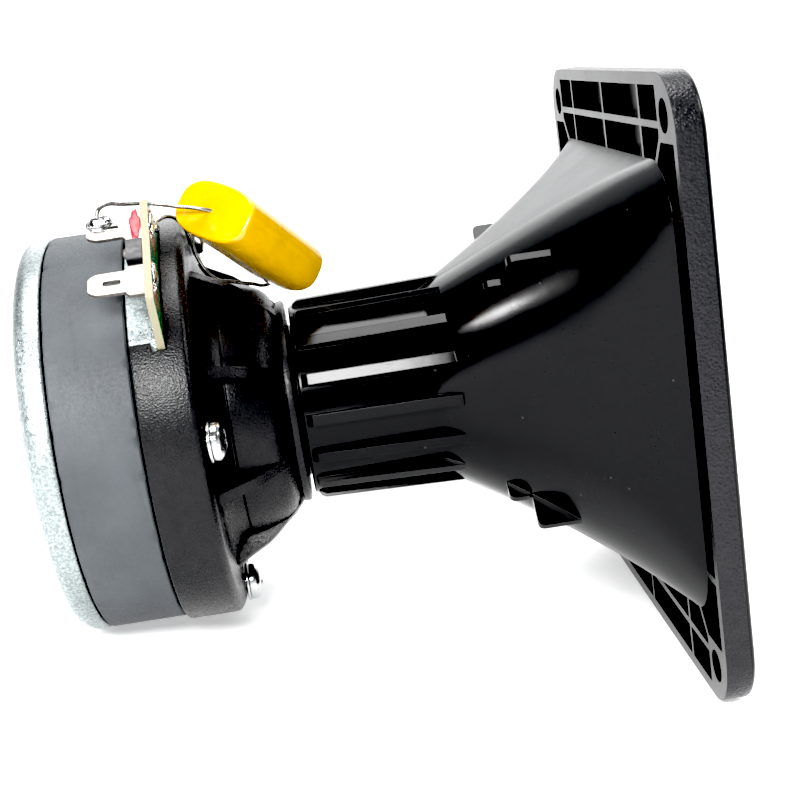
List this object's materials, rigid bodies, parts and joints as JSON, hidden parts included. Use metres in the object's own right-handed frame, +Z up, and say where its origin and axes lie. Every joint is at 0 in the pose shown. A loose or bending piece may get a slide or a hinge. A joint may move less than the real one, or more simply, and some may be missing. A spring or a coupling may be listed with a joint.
{
  "type": "horn tweeter with compression driver",
  "caption": "Compression driver with a ferrite magnet, terminal board and series capacitor, screwed on the ribbed neck of a square-flanged plastic horn.",
  "frame": {"origin": "centre of the back plate's rear face, on the driver's axis", "axes": "+X along the axis from the back plate out of the horn's mouth, +Z up with the terminals and capacitor on the upper near side, -Y the side that faces the viewer"},
  "size_m": [0.1401, 0.1296, 0.1296],
  "materials": {
    "horn_abs": "glossy moulded black ABS, satin on the flare",
    "cover_abs": "fine spark-eroded grain",
    "zinc_steel": "bright zinc plate, slightly grainy",
    "screw_zinc": "bright zinc plate",
    "ferrite": "ground, matt blue grey",
    "board_laminate": "green lacquer on a cream glass laminate",
    "tinned_brass": "dull tin plate",
    "tinned_wire": "tinned copper wire",
    "solder": "bright solder",
    "copper": "enamelled copper",
    "yellow_tape": "glossy polyester tape",
    "yellow_epoxy": "glossy cast epoxy",
    "metallised_film": "wound film",
    "diaphragm_film": "thin formed film"
  },
  "bodies": {
    "horn": {"horn": "horn_abs"},
    "driver": {"back_plate": "zinc_steel", "ferrite_magnet": "ferrite", "top_plate": "zinc_steel", "driver_cover": "cover_abs", "phase_plug": "cover_abs", "diaphragm_surround": "diaphragm_film", "diaphragm_ring": "cover_abs", "coil_lead_1": "copper", "coil_lead_2": "copper", "terminal_board": "board_laminate", "terminal_block": "cover_abs", "terminal_tab_1": "tinned_brass", "terminal_tab_2": "tinned_brass", "solder_bead": "solder", "capacitor_wrap": "yellow_tape", "capacitor_winding": "metallised_film", "capacitor_end_1": "yellow_epoxy", "capacitor_end_2": "yellow_epoxy", "capacitor_lead_1": "tinned_wire", "capacitor_lead_2": "tinned_wire", "cover_screw_1": "screw_zinc", "cover_screw_2": "screw_zinc", "cover_screw_3": "screw_zinc", "cover_screw_4": "screw_zinc", "screw_washer_1": "screw_zinc", "screw_washer_2": "screw_zinc", "screw_washer_3": "screw_zinc", "screw_washer_4": "screw_zinc"},
    "moving_coil": {"diaphragm_dome": "diaphragm_film", "coil_former": "diaphragm_film", "coil_winding": "copper"}
  },
  "joints": [
    {"name": "driver_turn", "type": "hinge", "parent": "horn", "child": "driver", "pos_m": [0.0627, 0, 0], "axis": [1, 0, 0], "range_deg": [-180, 180]},
    {"name": "diaphragm_travel", "type": "slide", "parent": "driver", "child": "moving_coil", "axis": [1, 0, 0], "range_m": [-0.00025, 0.00025], "stiffness_N_per_m": 20000}
  ]
}
